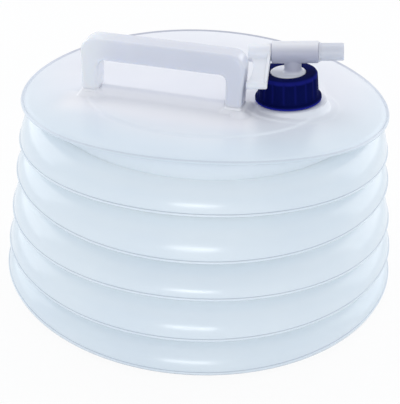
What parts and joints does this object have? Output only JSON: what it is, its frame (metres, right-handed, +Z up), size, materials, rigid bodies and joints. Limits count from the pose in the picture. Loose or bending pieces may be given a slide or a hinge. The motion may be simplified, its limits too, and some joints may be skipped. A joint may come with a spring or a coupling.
{
  "type": "collapsible water carrier",
  "caption": "Translucent concertina water carrier with bridge handle, off centre neck, blue screw collar and rotary tap with T lever and side nozzle",
  "frame": {"origin": "on the floor, below the centre of the bottle's base", "axes": "+Z up along the concertina's axis, +X to the nozzle's side, -Y to the side the handle and lever face"},
  "size_m": [0.3032, 0.3032, 0.2057],
  "materials": {
    "milky_ldpe": "satin",
    "white_polyethylene": "satin",
    "blue_polypropylene": "gloss",
    "seal_rubber": "matte"
  },
  "bodies": {
    "base": {"base_pan": "milky_ldpe"},
    "fold_5": {"fold_5": "milky_ldpe"},
    "fold_4": {"fold_4": "milky_ldpe"},
    "fold_3": {"fold_3": "milky_ldpe"},
    "top": {"fold_2": "milky_ldpe", "top_shell": "milky_ldpe", "carry_handle": "white_polyethylene"},
    "neck_seal": {"neck_gasket": "seal_rubber"},
    "collar": {"screw_collar": "blue_polypropylene"},
    "tap": {"tap_body": "white_polyethylene"},
    "rotor": {"tap_rotor": "white_polyethylene", "tap_lever": "white_polyethylene", "lever_end_seal": "seal_rubber", "nozzle_end_seal": "seal_rubber"}
  },
  "joints": [
    {"name": "collapse", "type": "slide", "parent": "base", "child": "fold_5", "axis": [0, 0, -1], "range_m": [0, 0.021], "deforming": ["fold_5"]},
    {"name": "fold_4_closes", "type": "slide", "parent": "fold_5", "child": "fold_4", "axis": [0, 0, -1], "range_m": [0, 0.021], "deforming": ["fold_4"]},
    {"name": "fold_3_closes", "type": "slide", "parent": "fold_4", "child": "fold_3", "axis": [0, 0, -1], "range_m": [0, 0.021], "deforming": ["fold_3"]},
    {"name": "fold_2_closes", "type": "slide", "parent": "fold_3", "child": "top", "axis": [0, 0, -1], "range_m": [0, 0.021], "deforming": ["fold_2"]},
    {"name": "seal_lift", "type": "slide", "parent": "top", "child": "neck_seal", "axis": [-0.0819, 0, 0.9966], "range_m": [0, 0.004]},
    {"name": "collar_turn", "type": "hinge", "parent": "neck_seal", "child": "collar", "pos_m": [0.05969, -0.02105, 0.16935], "axis": [-0.0819, 0, 0.9966], "range_deg": [0, 360]},
    {"name": "tap_swivel", "type": "hinge", "parent": "neck_seal", "child": "tap", "pos_m": [0.05908, -0.02105, 0.17662], "axis": [-0.0819, 0, 0.9966], "range_deg": [0, 120]},
    {"name": "lever_turn", "type": "hinge", "parent": "tap", "child": "rotor", "pos_m": [0.06097, -0.02129, 0.19625], "axis": [-0.9942, 0.0698, -0.0817], "range_deg": [0, 90]}
  ],
  "couplings": [
    {"joint": "fold_4_closes", "follows": "collapse", "ratio": 1},
    {"joint": "fold_3_closes", "follows": "collapse", "ratio": 1},
    {"joint": "fold_2_closes", "follows": "collapse", "ratio": 1},
    {"joint": "collar_turn", "follows": "seal_lift", "rad_per_m": 1570.8}
  ]
}
